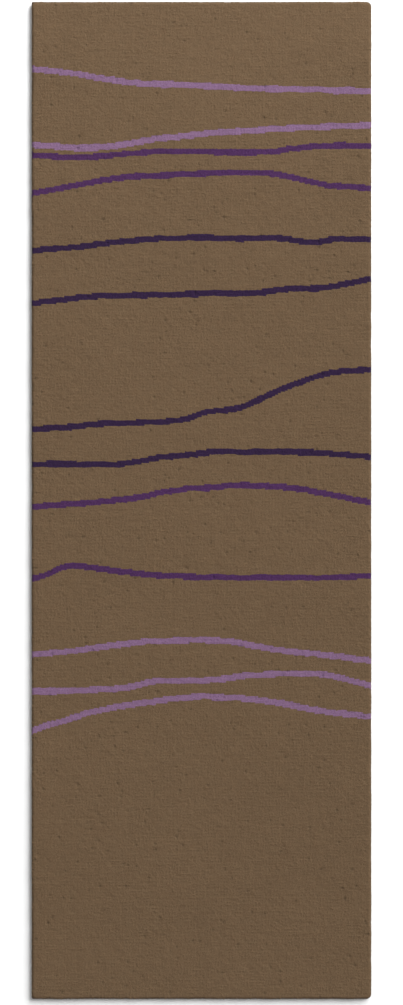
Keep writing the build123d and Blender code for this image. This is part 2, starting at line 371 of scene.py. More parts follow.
def pile_surface(patch_of_tuft):
    """The whole surface: flat places, real places and normals of its vertices, tufts' tones with
    painted shade on thin ones.
    """
    rng = np.random.default_rng(SEED)
    lean_x = rng.normal(scale=TUFT_LEAN, size=TUFTS)
    lean_y = rng.normal(scale=TUFT_LEAN, size=TUFTS)
    shift, stretch = LINE_SHIFT
    lean_x += tuft_noise(rng, stretch, PITCH) * shift
    lean_y += tuft_noise(rng, PITCH, stretch) * shift
    lean_x, lean_y = np.clip([lean_x, lean_y], -LEAN_LIMIT, LEAN_LIMIT)
    rise = tuft_field(rng, TUFT_RISE, RISE_WAVES)
    shade = 1 + tuft_field(rng, TUFT_SHADE, SHADE_WAVES)
    fleck = np.pad((rng.random(TUFTS) < FLECKS).astype(float), 1)
    fleck = fleck[1:-1, 1:-1] + FLECK_SPILL * (
        fleck[:-2, 1:-1] + fleck[2:, 1:-1] + fleck[1:-1, :-2] + fleck[1:-1, 2:]
    )
    # Painted shade: thin tufts, and a little of the tufts beside them, are darkened for the gap
    # they leave.
    shade *= 1 - FLECK_PAINTED_SHADE * fleck
    rise -= FLECK_DEPTH * fleck

    grid_x, grid_y = np.meshgrid(
        PILE_LOW.x + mesh_lines(COLUMNS) * PITCH, PILE_LOW.y + mesh_lines(ROWS) * PITCH
    )
    x, y = round_corners(grid_x, grid_y)

    # Dips between tufts, deeper where four meet and where the colour changes.
    on_row = (np.arange(x.shape[0]) % CELLS == 0)[:, None]
    on_column = (np.arange(x.shape[1]) % CELLS == 0)[None, :]
    dip = np.where(on_row & on_column, GROOVE_CROSSING, np.where(on_row | on_column, GROOVE, 0))
    dip = dip * (1 + GROOVE_SPREAD * rng.normal(size=dip.shape))
    share, wavelength = GROOVE_WAVE
    dip = dip * (1 + share * to_vertices(tuft_noise(rng, wavelength, wavelength)))
    patch, *others = tufts_at_vertices(patch_of_tuft)
    dip = dip + np.any([patch != other for other in others], axis=0) * COLOUR_GROOVE

    # The pile rounds off towards the rug's edge, unevenly from tuft to tuft.
    roll = np.clip(1 - to_rounded_edge(x, y, EDGE_CORNER) / EDGE_ROLL, 0, 1)
    ragged = 1 + EDGE_RAGGED * to_vertices(rng.normal(size=TUFTS))
    z = PILE_TIP - TIP_MARGIN - dip + to_vertices(rise) - EDGE_DROP * roll**2 * ragged

    calm = 1 - EDGE_CALM * np.sqrt(roll)
    step = PITCH / CELLS
    for wavelength, reach in WARPS:
        x += smooth_noise(rng, x.shape, step, step, wavelength, wavelength) * reach * calm
        y += smooth_noise(rng, y.shape, step, step, wavelength, wavelength) * reach * calm
    x += (to_vertices(lean_x) + rng.normal(scale=JITTER, size=x.shape)) * calm
    y += (to_vertices(lean_y) + rng.normal(scale=JITTER, size=y.shape)) * calm
    return grid_x, grid_y, x, y, z, surface_normals(x, y, z), shade


# ---- pile: one closed piece ----


def at_rug_edge(j, i):
    """Whether vertices of the surface's grid are on the rug's own edge."""
    return (j == 0) | (j == ROWS * CELLS) | (i == 0) | (i == COLUMNS * CELLS)


def border_edges(cells):
    """Edges round a patch: row and column of both ends, the patch on their left, and its cell."""
    ring = np.pad(cells, 1)
    edges = []
    for beyond, start, end in (
        (ring[:-2, 1:-1], (0, 0), (0, 1)),
        (ring[1:-1, 2:], (0, 1), (1, 1)),
        (ring[2:, 1:-1], (1, 1), (1, 0)),
        (ring[1:-1, :-2], (1, 0), (0, 0)),
    ):
        j, i = np.nonzero(cells & ~beyond)
        edges.append(np.column_stack([j + start[0], i + start[1], j + end[0], i + end[1], j, i]))
    return np.concatenate(edges)


def plain_sides(edges, levels):
    """A face for each edge beside another patch.  It takes in the levels at the rug's edge."""
    for aj, ai, bj, bi in edges:
        down_a = [level[aj, ai] for level in levels if level[aj, ai] >= 0]
        down_b = [level[bj, bi] for level in levels if level[bj, bi] >= 0]
        yield [down_a[-1], *down_b[::-1], *down_a[:-1]]


def bottom_strips(cells, foot):
    """A face for each column of cells, with the feet along both its sides."""
    for i in np.nonzero(cells.any(axis=0))[0]:
        filled = np.nonzero(cells[:, i])[0]
        left, right = foot[filled[0] : filled[-1] + 2, i : i + 2].T
        yield [*left[left >= 0], *right[right >= 0][::-1]]


def pile_piece(name, low, high, surface):
    """Closed mesh of one patch: domed top, sides down to the cloth, and a flat bottom."""
    grid_x, grid_y, x, y, z, normals, shade = surface
    tuft_row = np.arange(ROWS)[:, None]
    cells = np.kron((tuft_row >= low) & (tuft_row < high), np.ones((CELLS, CELLS), bool))
    points, flat = [], []

    def add_level(j, i, height, push=0, slide=0, drop=0):
        """Adds vertices below those of the surface, and returns their numbers on its grid."""
        numbers = np.full(x.shape, -1)
        numbers[j, i] = sum(map(len, points)) + np.arange(len(j))
        out_x, out_y = outward(x[j, i], y[j, i])
        moved_x = x[j, i] + out_x * push - out_y * slide
        moved_y = y[j, i] + out_y * push + out_x * slide
        points.append(np.column_stack([moved_x, moved_y, height]))
        flat.append(np.column_stack([grid_x[j, i] + out_x * drop, grid_y[j, i] + out_y * drop]))
        return numbers

    # Top: a quad per cell.
    used_j, used_i = np.nonzero(to_corners(cells))
    top = add_level(used_j, used_i, z[used_j, used_i])
    j, i = np.nonzero(cells)
    quads = [np.column_stack([top[j, i], top[j, i + 1], top[j + 1, i + 1], top[j + 1, i]])]
    shades = [shade[j // CELLS, i // CELLS]]

    # Feet of the sides, at the cloth.
    edges = border_edges(cells)
    start_j, start_i, end_j, end_i, cell_j, cell_i = edges.T
    border = np.zeros(x.shape, bool)
    border[start_j, start_i] = True
    j, i = np.nonzero(border)
    outer = at_rug_edge(j, i)
    drop = (z[j, i] - PILE_BASE) * outer
    foot = add_level(j, i, np.full(len(j), PILE_BASE), np.where(outer, WALL_FOOT, 0), 0, drop)

    # Levels down the rug's own side, where each tuft is an upright bundle.
    j, i = j[outer], i[outer]
    between = ((j % CELLS == 0) & (i % CELLS == 0)).astype(float)
    height = z[j, i] - PILE_BASE
    rng = np.random.default_rng([SEED, len(j), int(j[0]) if len(j) else 0])
    levels = [top]
    for share, bulge in zip(WALL_LEVELS, WALL_BULGE):
        scatter, slide = (rng.normal(scale=scale, size=len(j)) for scale in WALL_SCATTER)
        push = bulge - between * WALL_GROOVE + scatter
        level_height = PILE_BASE + height * (1 - share)
        levels.append(add_level(j, i, level_height, push, slide, height * share))
    levels.append(foot)

    rug_side = at_rug_edge(start_j, start_i) & at_rug_edge(end_j, end_i)
    a, b = (start_j[rug_side], start_i[rug_side]), (end_j[rug_side], end_i[rug_side])
    for above, beneath in zip(levels, levels[1:]):
        quads.append(np.column_stack([beneath[a], beneath[b], above[b], above[a]]))
        shades.append(shade[cell_j[rug_side] // CELLS, cell_i[rug_side] // CELLS])
    shown = sum(map(len, quads))

    by_corners = {}
    for face in [*plain_sides(edges[~rug_side][:, :4], levels), *bottom_strips(cells, foot)]:
        by_corners.setdefault(len(face), []).append(face)
    faces = [np.concatenate(quads), *map(np.array, by_corners.values())]
    total = sum(map(len, faces))

    # Flat map for baking: the top seen from above with the rug's side folded outwards.  What
    # is hidden is drawn small, in a corner of its own.
    uv = np.concatenate(flat)
    uv = (uv - uv.min(0)) / np.ptp(uv, axis=0) * MAP_SHOWN
    uvs = uv[np.concatenate([f.ravel() for f in faces])]
    uvs[4 * shown :] = tucked(uvs[4 * shown :])

    points = np.concatenate(points)
    obj = mesh_object(name, points, faces, np.arange(total) < shown, uvs)
    # Each tuft's tone, with the painted shade of thin tufts, goes on its faces for the material.
    yarn = np.ones(total)
    yarn[:shown] = np.concatenate(shades)
    add_attribute(obj, "yarn_tone_and_painted_shade", yarn, "FACE")

    # The top keeps the whole surface's normals, apart from the rug's own edge.
    own = np.zeros((len(points), 3), np.float32)
    obj.data.vertex_normals.foreach_get("vector", own.ravel())
    inner = np.nonzero(~at_rug_edge(used_j, used_i))[0]
    own[inner] = normals[used_j[inner], used_i[inner]]
    obj.data.normals_split_custom_set_from_vertices(own)
    return obj


# ---- materials ----


def new_material(name, roughness, sheen=0.0, specular=0.25):
    """A material, its node tree, its shader, and the place on the object as a socket."""
    material = bpy.data.materials.new(name)
    material.use_nodes = True
    tree = material.node_tree
    nodes = tree.nodes
    nodes.clear()
    output = nodes.new("ShaderNodeOutputMaterial")
    shader = nodes.new("ShaderNodeBsdfPrincipled")
    shader.inputs["Roughness"].default_value = roughness
    shader.inputs["Sheen Weight"].default_value = sheen
    shader.inputs["Sheen Roughness"].default_value = 0.45
    shader.inputs["Specular IOR Level"].default_value = specular
    place = nodes.new("ShaderNodeTexCoord")
    tree.links.new(shader.outputs[0], output.inputs["Surface"])
    return material, tree, shader, place.outputs["Object"]


def node(tree, kind, settings=None, **inputs):
    """Adds a node, sets its properties, and links or sets inputs by name, or as i0, i1, i2."""
    made = tree.nodes.new(kind)
    for key, value in (settings or {}).items():
        setattr(made, key, value)
    for key, value in inputs.items():
        number = key[1:] if key[0] == "i" else ""
        socket = made.inputs[int(number) if number.isdigit() else key]
        if isinstance(value, bpy.types.NodeSocket):
            tree.links.new(value, socket)
        else:
            socket.default_value = value
    return made


def attribute(tree, name):
    """The number that a mesh holds under that name."""
    return node(tree, "ShaderNodeAttribute", {"attribute_name": name}).outputs["Fac"]


def axes(tree, place):
    """X, Y and Z of a place."""
    return node(tree, "ShaderNodeSeparateXYZ", Vector=place).outputs[:3]


def maths(tree, operation, a, b=0.0, c=0.0):
    """The result of a sum on two or three values."""
    return node(tree, "ShaderNodeMath", {"operation": operation}, i0=a, i1=b, i2=c).outputs[0]


def sine(tree, value, spacing):
    """A wave from -1 to 1, whose crests and troughs are that spacing apart."""
    return maths(tree, "SINE", maths(tree, "MULTIPLY", value, math.pi / spacing))


def ridges(tree, value, spacing):
    """Round ridges from 0 to 1, that spacing apart."""
    return maths(tree, "ABSOLUTE", sine(tree, value, spacing))


def mix(tree, factor, a, b):
    """Colours from a to b, as the factor goes from 0 to 1."""
    inputs = {"Factor": factor, "A": (*a, 1), "B": (*b, 1)}
    return node(tree, "ShaderNodeMix", {"data_type": "RGBA"}, **inputs).outputs["Result"]


def noise(tree, place, scale, detail=2.0, stretch=(1, 1, 1)):
    """Noise from 0 to 1, about 1/scale metres across, stretched along the axes."""
    moved = node(tree, "ShaderNodeMapping", Vector=place, Scale=stretch).outputs[0]
    inputs = {"Vector": moved, "Scale": scale, "Detail": detail}
    return node(tree, "ShaderNodeTexNoise", **inputs).outputs["Fac"]


def spread(tree, value, low, high, from_low=0.25, from_high=0.75):
    """Maps a noise's usual range to low and high."""
    inputs = {"From Min": from_low, "From Max": from_high, "To Min": low, "To Max": high}
    return node(tree, "ShaderNodeMapRange", {"clamp": True}, Value=value, **inputs).outputs[0]


def wander(tree, value, place, size, wavelength):
    """Lets a coordinate drift a little, as yarns do."""
    drift = spread(tree, noise(tree, place, 1 / wavelength, 1.0), -size, size)
    return maths(tree, "ADD", value, drift)


def shade_by(tree, shader, colour, *factors):
    """Sets the colour, times each factor."""
    factor = factors[0]
    for other in factors[1:]:
        factor = maths(tree, "MULTIPLY", factor, other)
    scale = {"operation": "SCALE"}
    result = node(tree, "ShaderNodeVectorMath", scale, i0=colour, Scale=factor)
    tree.links.new(result.outputs["Vector"], shader.inputs["Base Color"])


def bump(tree, shader, height, strength, distance):
    """Roughens the shading by a height from 0 to 1, worth that distance in metres."""
    inputs = {"Height": height, "Strength": strength, "Distance": distance}
    made = node(tree, "ShaderNodeBump", **inputs)
    tree.links.new(made.outputs[0], shader.inputs["Normal"])


def yarn_material(name, colour):
    """Cut wool: a tone for each tuft, painted shade on thin tufts and down between tufts, loose
    fibres.
    """
    material, tree, shader, place = new_material(name, 0.95, sheen=0.05, specular=0.08)
    height = axes(tree, place)[2]
    fibres = noise(tree, place, 2600, 3.0)
    strands = noise(tree, place, 900, 2.0, (1, 1, 0.2))
    warm = [c * k for c, k in zip(colour, (1.02, 0.99, 0.97))]
    cool = [c * k for c, k in zip(colour, (0.98, 1.01, 1.03))]
    shade_by(
        tree,
        shader,
        mix(tree, noise(tree, place, 60, 2.0), warm, cool),
        # Each tuft's tone, darkened on thin tufts as painted shade.
        attribute(tree, "yarn_tone_and_painted_shade"),
        # Painted shade: the colour darkens down into the dips between the tufts.
        spread(tree, height, 0.6, 1.0, PILE_TIP - 4.0 * MM, PILE_TIP - 0.8 * MM),
        spread(tree, fibres, 0.80, 1.18),
        spread(tree, strands, 0.91, 1.09),
    )
    roughness = spread(tree, strands, 0.85, 1.0)
    tree.links.new(roughness, shader.inputs["Roughness"])
    bump(tree, shader, fibres, 0.8, 0.6 * MM)
    return material


def weave(tree, x, y, pitch):
    """Plain weave from 0 to 1: yarns pitch apart that pass over and under by turns."""
    sine_x, sine_y = sine(tree, x, pitch), sine(tree, y, pitch)
    over = maths(tree, "SIGN", maths(tree, "MULTIPLY", sine_x, sine_y))
    hills = []
    for wave, flattening in ((sine_x, 0.38), (sine_y, -0.38)):
        power = maths(tree, "MULTIPLY_ADD", over, flattening, 0.5)
        hills.append(maths(tree, "POWER", maths(tree, "ABSOLUTE", wave), power))
    return maths(tree, "MULTIPLY", *hills)


def plain_cloth(name, colour, pitch, depth=0.25 * MM):
    """Woven cloth with slubs in its yarns, faint stains, and painted shade in the dips and gaps of
    the weave.
    """
    material, tree, shader, place = new_material(name, 0.9, 0.1, 0.15)
    x, y = (wander(tree, c, place, 0.3 * pitch, 30 * pitch) for c in axes(tree, place)[:2])
    height = weave(tree, x, y, pitch)
    slubs = [
        spread(tree, noise(tree, place, 1 / (1.2 * pitch), 2.0, stretch), 0.88, 1.12)
        for stretch in ((1, 0.04, 1), (0.04, 1, 1))
    ]
    shade_by(
        tree,
        shader,
        colour,
        # Painted shade: darker where the weave is low, in its dips and gaps.
        spread(tree, height, 0.62, 1.04, 0.0, 0.9),
        *slubs,
        spread(tree, noise(tree, place, 9, 3.0), 0.94, 1.05),
    )
    fuzz = maths(tree, "MULTIPLY_ADD", noise(tree, place, 1800, 2.0), 0.3, height)
    bump(tree, shader, fuzz, 0.8, depth)
    return material


def tape_material():
    """Herringbone twill: slanting ribs that turn back every few millimetres across the tape."""
    material, tree, shader, place = new_material("binding_twill", 0.82, 0.08, 0.2)
    across = attribute(tree, "tape_across")
    zigzag = maths(tree, "PINGPONG", across, 5 * MM)
    slant = maths(tree, "ADD", attribute(tree, "tape_along"), zigzag)
    rib = ridges(tree, wander(tree, slant, place, 0.12 * MM, 12 * MM), 1.6 * MM)
    yarn = maths(tree, "MULTIPLY_ADD", ridges(tree, across, 0.8 * MM), 0.35, 0.65)
    height = maths(tree, "MULTIPLY", maths(tree, "POWER", rib, 0.7), yarn)
    shade_by(
        tree,
        shader,
        (0.150, 0.100, 0.062),
        # Painted shade: darker down in the grooves between the ribs and between the yarns.
        spread(tree, height, 0.55, 1.08, 0.0, 0.95),
        spread(tree, noise(tree, place, 500, 2.0), 0.9, 1.1),
        spread(tree, noise(tree, place, 35, 3.0), 0.92, 1.10),
    )
    fuzz = maths(tree, "MULTIPLY_ADD", noise(tree, place, 2500, 2.0), 0.25, height)
    bump(tree, shader, fuzz, 0.8, 0.22 * MM)
    return material


def thread_material():
    """Twisted cotton thread."""
    material, tree, shader, place = new_material("twisted_thread", 0.6, 0.1, 0.3)
    x, y, z = axes(tree, place)
    slant = maths(tree, "MULTIPLY_ADD", z, 0.8, maths(tree, "ADD", x, y))
    ply = ridges(tree, slant, 0.75 * MM)
    shade_by(
        tree,
        shader,
        (0.40, 0.30, 0.19),
        # Painted shade: darker in the grooves between the plies.
        spread(tree, ply, 0.6, 1.05, 0.0, 0.8),
        spread(tree, noise(tree, place, 700, 2.0), 0.92, 1.08),
    )
    bump(tree, shader, ply, 0.7, 0.15 * MM)
    return material


def satin_material():
    """Blank satin ribbon: fine yarns one way, with a soft gloss."""
    material, tree, shader, place = new_material("label_satin", 0.38, 0.1, 0.45)
    fine = noise(tree, place, 3200, 2.0, (1, 0.06, 1))
    shade_by(
        tree,
        shader,
        (0.60, 0.575, 0.52),
        spread(tree, fine, 0.93, 1.04),
        spread(tree, noise(tree, place, 60, 2.0), 0.96, 1.03),
    )
    shader.inputs["Anisotropic"].default_value = 0.4
    bump(tree, shader, fine, 0.35, 0.08 * MM)
    return material


def latex_material():
    """Dried latex with filler in it: dull, uneven, full of tiny bubbles."""
    material, tree, shader, place = new_material("dried_latex", 0.55, 0.0, 0.4)
    bubbles = node(tree, "ShaderNodeTexVoronoi", Vector=place, Scale=420).outputs["Distance"]
    lumps = noise(tree, place, 90, 4.0)
    shade_by(
        tree,
        shader,
        (0.62, 0.56, 0.43),
        # Painted shade: darker in the middle of each bubble, where the bump dips into a pit.
        spread(tree, bubbles, 0.85, 1.05, 0.0, 0.6),
        spread(tree, lumps, 0.9, 1.07),
    )
    bump(tree, shader, maths(tree, "ADD", bubbles, lumps), 0.6, 0.4 * MM)
    return material


YARN_COLOURS = {
    "brown": (0.130, 0.0835, 0.0468),
    "lilac": (0.190, 0.109, 0.192),
    "purple": (0.060, 0.0223, 0.0765),
    "dark": (0.0260, 0.0127, 0.0396),
}
YARNS = {name: yarn_material(f"{name}_wool", colour) for name, colour in YARN_COLOURS.items()}
COTTON = plain_cloth("tufting_cotton", (0.50, 0.43, 0.32), 1.9 * MM)
CANVAS = plain_cloth("backing_canvas", (0.40, 0.335, 0.245), 1.6 * MM)
GAUZE = plain_cloth("scrim_gauze", (0.60, 0.58, 0.52), 2.6 * MM, depth=0.4 * MM)
TAPE = tape_material()
THREAD = thread_material()
SATIN = satin_material()
LATEX = latex_material()

# ---- pile: one piece for each patch, or several for a large one ----


def build_pile():
    """Numbers the tufts by patch, makes the surface once, and cuts it into pieces."""
    patches = {n: patch_rows(n) for n in PILE_NODES}
    patch_of_tuft = np.zeros(TUFTS, int)
    tuft_row = np.arange(ROWS)[:, None]
    for number, (low, high) in enumerate(patches.values(), start=1):
        patch_of_tuft[(tuft_row >= low) & (tuft_row < high)] = number
    surface = pile_surface(patch_of_tuft)
    for patch, (low, high) in patches.items():
        words = patch.split("_")  # pile, ground or stripe, number, and a stripe's colour
        colour = words[3] if len(words) > 3 else "brown"
        bands = cut_in_bands(low, high)
        for index, (band_low, band_high) in enumerate(bands):
            letter = "abcdefgh"[index] if len(bands) > 1 else ""
            name = f"{colour}_pile_{words[2]}{letter}"
            obj = pile_piece(name, band_low, band_high, surface)
            finish_piece(obj, YARNS[colour], patch)


build_pile()

# ---- cloth and latex under the pile ----

CLOTH = 0.8 * MM  # thickness of the tufting cloth, its hem and the backing cloth
CLOTH_LOW, CLOTH_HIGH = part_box("tufting_cloth")
OVERHANG = CLOTH_LOW.x - PILE_LOW.x  # of the pile, past the folded cloth
HEM_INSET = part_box("backing_cloth")[0].x - PILE_LOW.x  # of the hem's raw edge, from the rug's
LAYER_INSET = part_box("scrim")[0].x - PILE_LOW.x
LAYER_WAVE = (0.08 * MM, 60 * MM)  # how deep the layers' faces wave, and the wavelength
FOLD_WAVE = 0.12 * MM
INNER_LAYERS = {  # piece, material and slot for each node
    "latex_precoat": ("latex_coat", LATEX, "latex"),
    "scrim": ("gauze_scrim", GAUZE, "scrim"),
    "latex_adhesive": ("latex_glue", LATEX, "latex"),
}

CORNER_STEPS = (0, 0.7, 1.5, 2.4, 3.6, 5.5, 8, 11.5, 17, 26, 38)  # mm from a corner
CLOTH_CELL = 12 * MM  # elsewhere


def side_places(length):
    """Places along a side, as shares of its half: close together near its two ends."""
    half = length / 2
    ends = half - np.array(CORNER_STEPS) * MM
    count = round(2 * ends[-1] / CLOTH_CELL)
    middle = np.linspace(-ends[-1], ends[-1], count + 1)[1:-1]
    return np.concatenate([-ends, middle, ends[::-1]]) / half


ACROSS = side_places(RUG_WIDTH)
ALONG = side_places(RUG_LENGTH)


def outline_grid(inset):
    """Grid of places over the rug's outline, moved in by the inset."""
    x, y = np.meshgrid(ACROSS * (RUG_WIDTH / 2 - inset), ALONG * (RUG_LENGTH / 2 - inset))
    return round_corners(x, y, inset)


def waves(seed, shape, size, wavelength):
    """Gentle waves from 0 to size over a grid whose cells are about CLOTH_CELL."""
    rng = np.random.default_rng([SEED, seed])
    field = smooth_noise(rng, shape, CLOTH_CELL, CLOTH_CELL, wavelength, wavelength)
    return size * np.clip(0.5 + 0.25 * field, 0, 1)


def build_tufting_cloth():
    """One sheet: flat under the pile, folded under round the edge, and hemmed."""
    edge, low, top = OVERHANG, CLOTH_LOW.z, CLOTH_HIGH.z
    under = top - CLOTH
    profile = [  # inset from the rug's edge, and height
        (edge + 1.0 * MM, top),
        (edge + 0.4 * MM, top - 0.1 * MM),
        (edge + 0.05 * MM, top - 0.6 * MM),
        (edge, (top + low) / 2),
        (edge + 0.05 * MM, low + 0.6 * MM),
        (edge + 0.4 * MM, low + 0.1 * MM),
        (edge + 1.0 * MM, low),
        (HEM_INSET / 2, low),
        (HEM_INSET, low),
        (HEM_INSET, low + CLOTH),
        (HEM_INSET / 2, low + CLOTH),
        (edge + CLOTH + 0.4 * MM, low + CLOTH),
        (edge + CLOTH, low + CLOTH + 0.4 * MM),
        (edge + CLOTH, under - 0.4 * MM),
        (edge + CLOTH + 0.4 * MM, under),
    ]
    x, y = outline_grid(HEM_INSET)
    outer = np.arange(x.size).reshape(x.shape)
    rings = [boundary(outer)]
    points = [np.stack([x, y, np.full(x.shape, top)], -1).reshape(-1, 3)]
    count = x.size
    rng = np.random.default_rng([SEED, 1])
    around = len(rings[0])
    for inset, height in profile:
        grid_x, grid_y = outline_grid(inset)
        ring_x, ring_y = boundary(grid_x), boundary(grid_y)
        out_x, out_y = outward(ring_x, ring_y)
        near_edge = max(0, 1 - (inset - edge) / (4 * MM))
        push = near_edge * FOLD_WAVE * smooth_noise(rng, (1, around), 1, 1, 3, 1)[0]
        points.append(
            np.column_stack([ring_x + out_x * push, ring_y + out_y * push, np.full(around, height)])
        )
        rings.append(count + np.arange(around))
        count += around
    inner = count + outer
    points.append(np.stack([x, y, np.full(x.shape, under)], -1).reshape(-1, 3))
    rings.append(boundary(inner))

    # Flat map: the strips round the fold in its upper half, the flat upper side in the lower.
    half_map = 0.48
    around_faces = ring_faces(rings)
    faces = np.concatenate([around_faces, grid_faces(outer), grid_faces(inner, facing_up=False)])
    points = np.concatenate(points)
    strips, place = np.divmod(np.arange(len(around_faces)), around)
    u = (place[:, None] + [0, 0, 1, 1]) / around
    v = 0.5 + half_map * (strips[:, None] + [0, 1, 1, 0]) / (len(rings) - 1)
    flat = points[faces[len(around_faces) :].ravel(), :2] / (RUG_WIDTH, RUG_LENGTH) + 0.5
    flat[:, 1] *= half_map
    flat[len(flat) // 2 :] = tucked(flat[len(flat) // 2 :])
    uvs = np.concatenate([np.stack([u, v], -1).reshape(-1, 2), flat])
    obj = mesh_object("folded_tufting_cloth", points, [faces], True, uvs)
    finish_piece(obj, COTTON, "tufting_cloth")


def build_inner_layers():
    """Latex, gauze and latex, sealed between the folded cloth and the backing."""
    x, y = outline_grid(LAYER_INSET)
    for seed, (node_name, (piece, material, slot)) in enumerate(INNER_LAYERS.items(), start=10):
        low_corner, high_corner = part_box(node_name)
        low = low_corner.z + waves(seed, x.shape, *LAYER_WAVE)
        high = high_corner.z - waves(seed + 10, x.shape, *LAYER_WAVE)
        obj = slab(piece, x, y, low, high)
        finish_piece(obj, material, node_name)


# ---- underside: backing, binding tapes, seams and label ----

BACKING_CELL = 6 * MM
BACKING_SAG = 0.45 * MM  # how far the backing's waves hang down between the tapes
BACKING_WAVES = ((1, 110 * MM, 170 * MM), (0.35, 28 * MM, 40 * MM))  # share and wavelengths
SAG_TO_TAPE = 30 * MM  # the waves set in over this distance from a tape
SAG_TO_LABEL = 25 * MM  # and from the label

TAPE_LOW, TAPE_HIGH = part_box("binding_tape_left")
TAPE_INSET = TAPE_LOW.x - PILE_LOW.x
TAPE_WIDTH = TAPE_HIGH.x - TAPE_LOW.x
TAPE_THICKNESS = TAPE_HIGH.z - TAPE_LOW.z
TAPE_CELL = 2.5 * MM
TAPE_LIFT = (0.05 * MM, 0.03 * MM)  # of its face off the floor, and the spread of its waves
TAPE_CURL = (0.18 * MM, 1.6 * MM)  # how far its edges turn up, and over what width

SEAM_INSETS = (7.4 * MM, 48.6 * MM)  # middles of the two seams, from the rug's edge
DIMPLE = 0.30 * MM  # how deep a seam draws the tape in
DIMPLE_WIDTH = 1.5 * MM
DIMPLE_REACH = 2.4 * MM  # the tape's mesh is fine over this distance from a seam
STITCH_PITCH = 7.5 * MM
STITCH = (5.9 * MM, 0.80 * MM, 0.46 * MM)  # length, width and depth
LABEL_STITCH_PITCH = 3.4 * MM
LABEL_STITCH = (2.7 * MM, 0.55 * MM, 0.30 * MM)
LABEL_SEAM = 0.4 * MM  # half the width of its CAD seam
SIDES = {"bottom_end": (0, -1), "right": (1, 0), "top_end": (0, 1), "left": (-1, 0)}
SEAM_NODES = {f"stitches_{side}": f"tape_seam_{side}" for side in SIDES}
SEAM_NODES["label_stitches"] = "label_seam"


def build_backing():
    """Canvas that hangs in waves between the tapes, and lies flat at the label."""
    low_corner, high_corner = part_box("backing_cloth")
    size = high_corner - low_corner
    columns, rows = round(size.x / BACKING_CELL), round(size.y / BACKING_CELL)
    x, y = box_grid(low_corner, high_corner, columns, rows)
    rng = np.random.default_rng([SEED, 2])
    hang = sum(
        share * smooth_noise(rng, x.shape, BACKING_CELL, BACKING_CELL, *wavelengths)
        for share, *wavelengths in BACKING_WAVES
    )
    hang = np.clip(0.5 + 0.3 * hang, 0, 1)
    to_tape = to_box_edge(x, y, low_corner, high_corner) - (TAPE_INSET + TAPE_WIDTH - HEM_INSET)
    hang *= np.clip(to_tape / SAG_TO_TAPE, 0, 1)
    hang *= np.clip(-to_box_edge(x, y, *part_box("care_label")) / SAG_TO_LABEL, 0, 1)
    z = low_corner.z - BACKING_SAG * hang
    obj = slab("canvas_backing", x, y, z, z + CLOTH)
    finish_piece(obj, CANVAS, "backing_cloth")


def side_frame(side):
    """Middle of a side of the rug, its directions along and inwards, and half its length."""
    out = np.array(SIDES[side], float)
    half = np.array([RUG_WIDTH / 2, RUG_LENGTH / 2])
    along = np.array([-out[1], out[0]])
    return out * half, along, -out, abs(along) @ half


def build_tape(side):
    """A strip of herringbone tape, mitred at both ends, drawn in along its two seams."""
    middle, along, inward, half = side_frame(side)
    length = 2 * (half - TAPE_INSET)
    strips = 7 if length > 1 else 4  # that its flat map is folded into
    rows = strips * round(length / TAPE_CELL / strips)
    fine = np.linspace(-DIMPLE_REACH, DIMPLE_REACH, 9)
    lines = [np.linspace(0, TAPE_WIDTH, 17), *(s - TAPE_INSET + fine for s in SEAM_INSETS)]
    across = np.unique(np.concatenate(lines).round(6))
    a, t = np.meshgrid(across, np.linspace(-1, 1, rows + 1))
    run = t * (half - TAPE_INSET - a)
    inset = a + TAPE_INSET
    x = middle[0] + along[0] * run + inward[0] * inset
    y = middle[1] + along[1] * run + inward[1] * inset
    x, y = round_corners(x, y, TAPE_INSET)

    rng = np.random.default_rng([SEED, 3, *(abs(middle) * 1000).astype(int)])
    lift, wave = TAPE_LIFT
    z = lift + wave * smooth_noise(rng, x.shape, 3 * MM, length / rows, 20 * MM, 55 * MM)
    for seam in SEAM_INSETS:
        # Deepest between the stitches, where the thread goes down.
        pull = 0.75 - 0.25 * np.cos(2 * np.pi * run / STITCH_PITCH)
        z += DIMPLE * pull * np.exp(-(((inset - seam) / DIMPLE_WIDTH) ** 2))
    curl, curl_width = TAPE_CURL
    z += curl * np.clip(1 - np.minimum(a, TAPE_WIDTH - a) / curl_width, 0, 1) ** 2
    z = np.maximum(z, 0)
    obj = slab(f"herringbone_tape_{side}", x, y, z, np.full(x.shape, TAPE_THICKNESS), strips)
    add_attribute(obj, "tape_across", np.tile(a.ravel(), 2))
    add_attribute(obj, "tape_along", np.tile(run.ravel(), 2))
    finish_piece(obj, TAPE, f"binding_tape_{side}")


